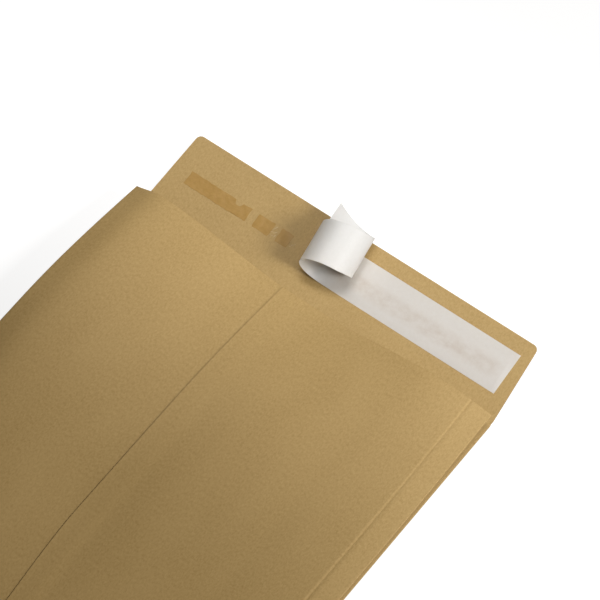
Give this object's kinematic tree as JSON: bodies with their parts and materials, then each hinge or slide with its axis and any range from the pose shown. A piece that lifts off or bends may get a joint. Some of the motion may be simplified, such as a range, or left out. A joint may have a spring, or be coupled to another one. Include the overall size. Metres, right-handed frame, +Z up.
{
  "type": "gusseted envelope",
  "caption": "Brown kraft envelope with side gussets, opened flap, peel-and-seal adhesive and a half-peeled release liner.",
  "frame": {"origin": "middle of the front panel's outer face, on which the envelope lies", "axes": "+X along the mouth, +Y from the closed bottom to the flap, +Z up from the front panel to the back panel"},
  "size_m": [0.2333, 0.3715, 0.0341],
  "materials": {
    "kraft_paper": "matte brown kraft with fine fibre mottling",
    "adhesive": "thin amber hot-melt film, slightly glossy",
    "release_paper": "smooth white silicone-coated paper, satin"
  },
  "bodies": {
    "root": {"envelope_sheet": "kraft_paper", "adhesive_film_left": "adhesive", "adhesive_film_middle": "adhesive", "adhesive_film_short": "adhesive", "adhesive_film_covered": "adhesive", "release_liner": "release_paper"}
  },
  "joints": []
}
